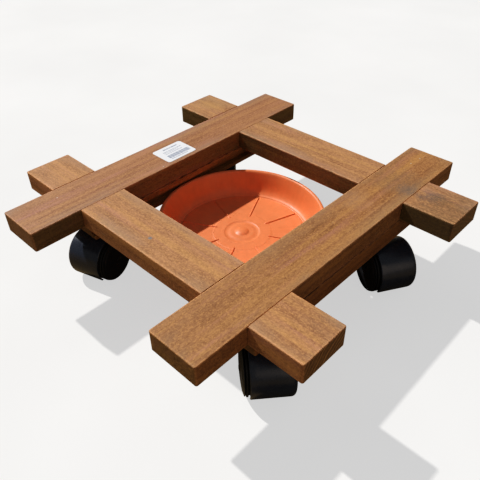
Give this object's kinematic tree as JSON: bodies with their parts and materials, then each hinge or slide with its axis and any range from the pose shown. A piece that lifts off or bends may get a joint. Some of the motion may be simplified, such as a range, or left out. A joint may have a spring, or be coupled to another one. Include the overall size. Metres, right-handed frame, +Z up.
{
  "type": "plant pot caddy",
  "caption": "Low wheeled plant stand: a hash-shaped frame of halved wooden rails on two runner battens, a round drip saucer that slides out, and hooded swivel casters.",
  "frame": {"origin": "on the floor, under the centre of the frame", "axes": "+Z up; +X to the right, across the two long rails and runners; +Y to the back, along them; the saucer slides out to -Y"},
  "size_m": [0.369, 0.369, 0.1002],
  "materials": {
    "long_rail_wood": "satin oiled",
    "cross_rail_wood": "satin oiled",
    "runner_wood": "satin oiled",
    "label": "satin",
    "terracotta_plastic": "satin moulded",
    "frame_screw_steel": "zinc plated",
    "plate_steel": "zinc plated",
    "plate_screw_steel": "zinc plated",
    "pin_steel": "plain",
    "bush_plastic": "matte",
    "hood_plastic": "satin moulded",
    "wheel_plastic": "matte moulded",
    "cap_plastic": "matte moulded"
  },
  "bodies": {
    "frame": {"long_rail_left": "long_rail_wood", "long_rail_right": "long_rail_wood", "cross_rail_front": "cross_rail_wood", "cross_rail_back": "cross_rail_wood", "runner_left": "runner_wood", "runner_right": "runner_wood", "blank_label": "label", "crossing_screw_front_left": "frame_screw_steel", "runner_screw_front_left": "frame_screw_steel", "caster_plate_front_left": "plate_steel", "kingpin_front_left": "pin_steel", "swivel_bush_front_left": "bush_plastic", "plate_screw_front_left_1": "plate_screw_steel", "plate_screw_front_left_2": "plate_screw_steel", "plate_screw_front_left_3": "plate_screw_steel", "plate_screw_front_left_4": "plate_screw_steel", "crossing_screw_front_right": "frame_screw_steel", "runner_screw_front_right": "frame_screw_steel", "caster_plate_front_right": "plate_steel", "kingpin_front_right": "pin_steel", "swivel_bush_front_right": "bush_plastic", "plate_screw_front_right_1": "plate_screw_steel", "plate_screw_front_right_2": "plate_screw_steel", "plate_screw_front_right_3": "plate_screw_steel", "plate_screw_front_right_4": "plate_screw_steel", "crossing_screw_back_right": "frame_screw_steel", "runner_screw_back_right": "frame_screw_steel", "caster_plate_back_right": "plate_steel", "kingpin_back_right": "pin_steel", "swivel_bush_back_right": "bush_plastic", "plate_screw_back_right_1": "plate_screw_steel", "plate_screw_back_right_2": "plate_screw_steel", "plate_screw_back_right_3": "plate_screw_steel", "plate_screw_back_right_4": "plate_screw_steel", "crossing_screw_back_left": "frame_screw_steel", "runner_screw_back_left": "frame_screw_steel", "caster_plate_back_left": "plate_steel", "kingpin_back_left": "pin_steel", "swivel_bush_back_left": "bush_plastic", "plate_screw_back_left_1": "plate_screw_steel", "plate_screw_back_left_2": "plate_screw_steel", "plate_screw_back_left_3": "plate_screw_steel", "plate_screw_back_left_4": "plate_screw_steel"},
    "saucer": {"saucer": "terracotta_plastic"},
    "caster_front_left": {"caster_hood_front_left": "hood_plastic", "axle_front_left": "pin_steel"},
    "roller_front_left": {"wheel_front_left": "wheel_plastic", "hub_cap_front_left": "cap_plastic"},
    "caster_front_right": {"caster_hood_front_right": "hood_plastic", "axle_front_right": "pin_steel"},
    "roller_front_right": {"wheel_front_right": "wheel_plastic", "hub_cap_front_right": "cap_plastic"},
    "caster_back_right": {"caster_hood_back_right": "hood_plastic", "axle_back_right": "pin_steel"},
    "roller_back_right": {"wheel_back_right": "wheel_plastic", "hub_cap_back_right": "cap_plastic"},
    "caster_back_left": {"caster_hood_back_left": "hood_plastic", "axle_back_left": "pin_steel"},
    "roller_back_left": {"wheel_back_left": "wheel_plastic", "hub_cap_back_left": "cap_plastic"}
  },
  "joints": [
    {"name": "saucer_slide", "type": "slide", "parent": "frame", "child": "saucer", "axis": [0, -1, 0], "range_m": [0, 0.225]},
    {"name": "swivel_front_left", "type": "hinge", "parent": "frame", "child": "caster_front_left", "pos_m": [-0.107, -0.088, 0.055], "axis": [0, 0, 1], "continuous": true},
    {"name": "spin_front_left", "type": "hinge", "parent": "caster_front_left", "child": "roller_front_left", "pos_m": [-0.09969, -0.11191, 0.0245], "axis": [0.9563, 0.2924, 0], "continuous": true},
    {"name": "swivel_front_right", "type": "hinge", "parent": "frame", "child": "caster_front_right", "pos_m": [0.107, -0.088, 0.055], "axis": [0, 0, 1], "continuous": true},
    {"name": "spin_front_right", "type": "hinge", "parent": "caster_front_right", "child": "roller_front_right", "pos_m": [0.12587, -0.1044, 0.0245], "axis": [-0.6561, -0.7547, 0], "continuous": true},
    {"name": "swivel_back_right", "type": "hinge", "parent": "frame", "child": "caster_back_right", "pos_m": [0.107, 0.088, 0.055], "axis": [0, 0, 1], "continuous": true},
    {"name": "spin_back_right", "type": "hinge", "parent": "caster_back_right", "child": "roller_back_right", "pos_m": [0.12843, 0.07512, 0.0245], "axis": [-0.515, -0.8572, 0], "continuous": true},
    {"name": "swivel_back_left", "type": "hinge", "parent": "frame", "child": "caster_back_left", "pos_m": [-0.107, 0.088, 0.055], "axis": [0, 0, 1], "continuous": true},
    {"name": "spin_back_left", "type": "hinge", "parent": "caster_back_left", "child": "roller_back_left", "pos_m": [-0.12134, 0.06752, 0.0245], "axis": [0.8192, -0.5736, 0], "continuous": true}
  ]
}
